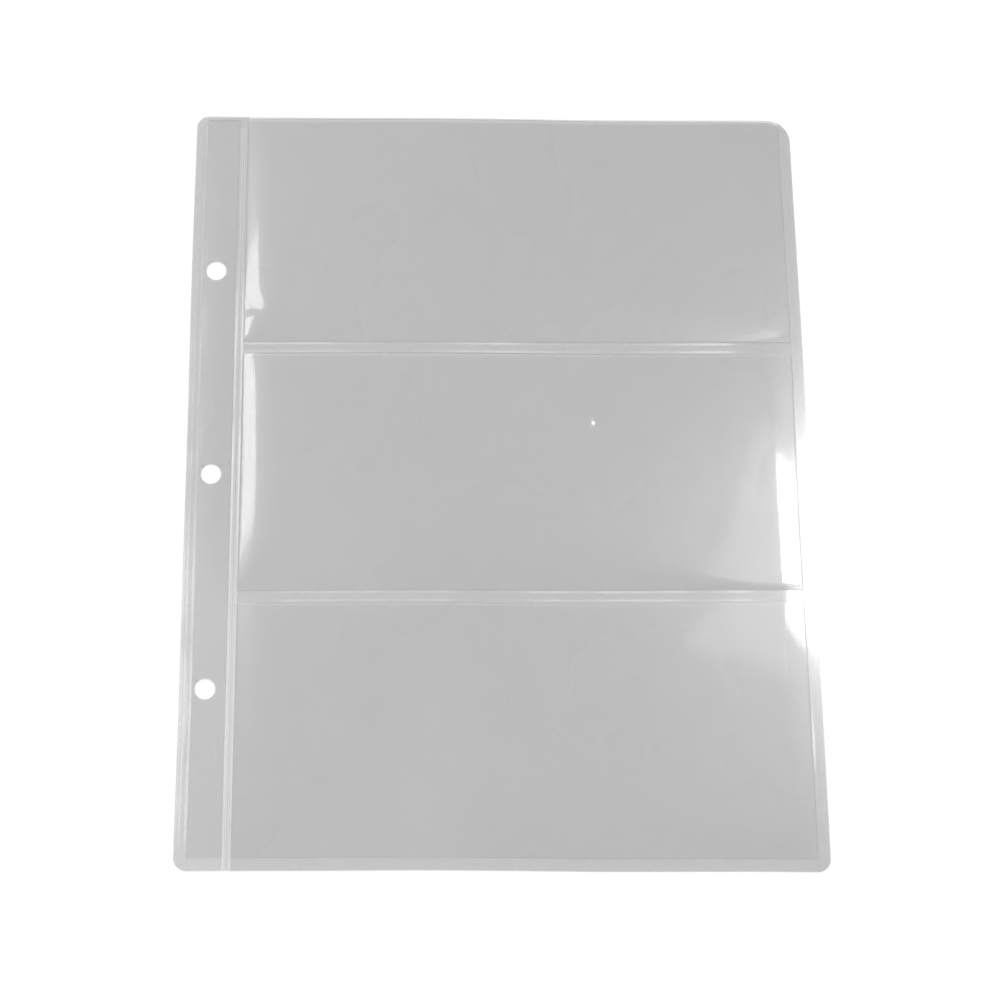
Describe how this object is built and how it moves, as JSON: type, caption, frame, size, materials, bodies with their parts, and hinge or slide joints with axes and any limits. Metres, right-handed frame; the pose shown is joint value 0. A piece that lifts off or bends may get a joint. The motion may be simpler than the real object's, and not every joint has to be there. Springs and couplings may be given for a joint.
{
  "type": "banknote album page",
  "caption": "Clear soft-film album page with a punched binding strip and full-width pockets for banknotes, stacked one above another, each open along its top.",
  "frame": {"origin": "middle of the page's outline, on the flat surface that it lies on", "axes": "+Y towards the page's top edge, where the top pocket opens; +Z out of the pockets' front; the binding strip is on the -X side"},
  "size_m": [0.202, 0.252, 0.0007],
  "materials": {
    "clear_film": "smooth, glossy, slightly grey clear soft film",
    "pressed_weld": "pressed, ribbed, milkier than the film"
  },
  "bodies": {
    "page": {"page_back_film": "clear_film", "seam_weld_pocket_side": "pressed_weld", "right_edge_weld": "pressed_weld", "bottom_edge_weld": "pressed_weld", "lower_divider_weld": "pressed_weld", "upper_divider_weld": "pressed_weld"},
    "strip": {"strip_back_film": "clear_film", "strip_front_film": "clear_film", "left_edge_weld": "pressed_weld", "strip_top_weld": "pressed_weld", "strip_bottom_weld": "pressed_weld", "seam_weld_strip_side": "pressed_weld"},
    "bottom_pocket_front": {"bottom_pocket_film": "clear_film"},
    "middle_pocket_front": {"middle_pocket_film": "clear_film"},
    "top_pocket_front": {"top_pocket_film": "clear_film"}
  },
  "joints": [
    {"name": "strip_fold", "type": "hinge", "parent": "page", "child": "strip", "pos_m": [-0.0851, 0, 0.0001], "axis": [0, 1, 0], "range_deg": [-90, 90], "stiffness_Nm_per_rad": 0.004},
    {"name": "bottom_pocket_mouth", "type": "hinge", "parent": "page", "child": "bottom_pocket_front", "pos_m": [0, -0.1217, 0.0006], "axis": [1, 0, 0], "range_deg": [0, 8], "stiffness_Nm_per_rad": 0.003},
    {"name": "middle_pocket_mouth", "type": "hinge", "parent": "page", "child": "middle_pocket_front", "pos_m": [0, -0.0381, 0.0006], "axis": [1, 0, 0], "range_deg": [0, 8], "stiffness_Nm_per_rad": 0.003},
    {"name": "top_pocket_mouth", "type": "hinge", "parent": "page", "child": "top_pocket_front", "pos_m": [0, 0.0455, 0.0006], "axis": [1, 0, 0], "range_deg": [0, 8], "stiffness_Nm_per_rad": 0.003}
  ]
}
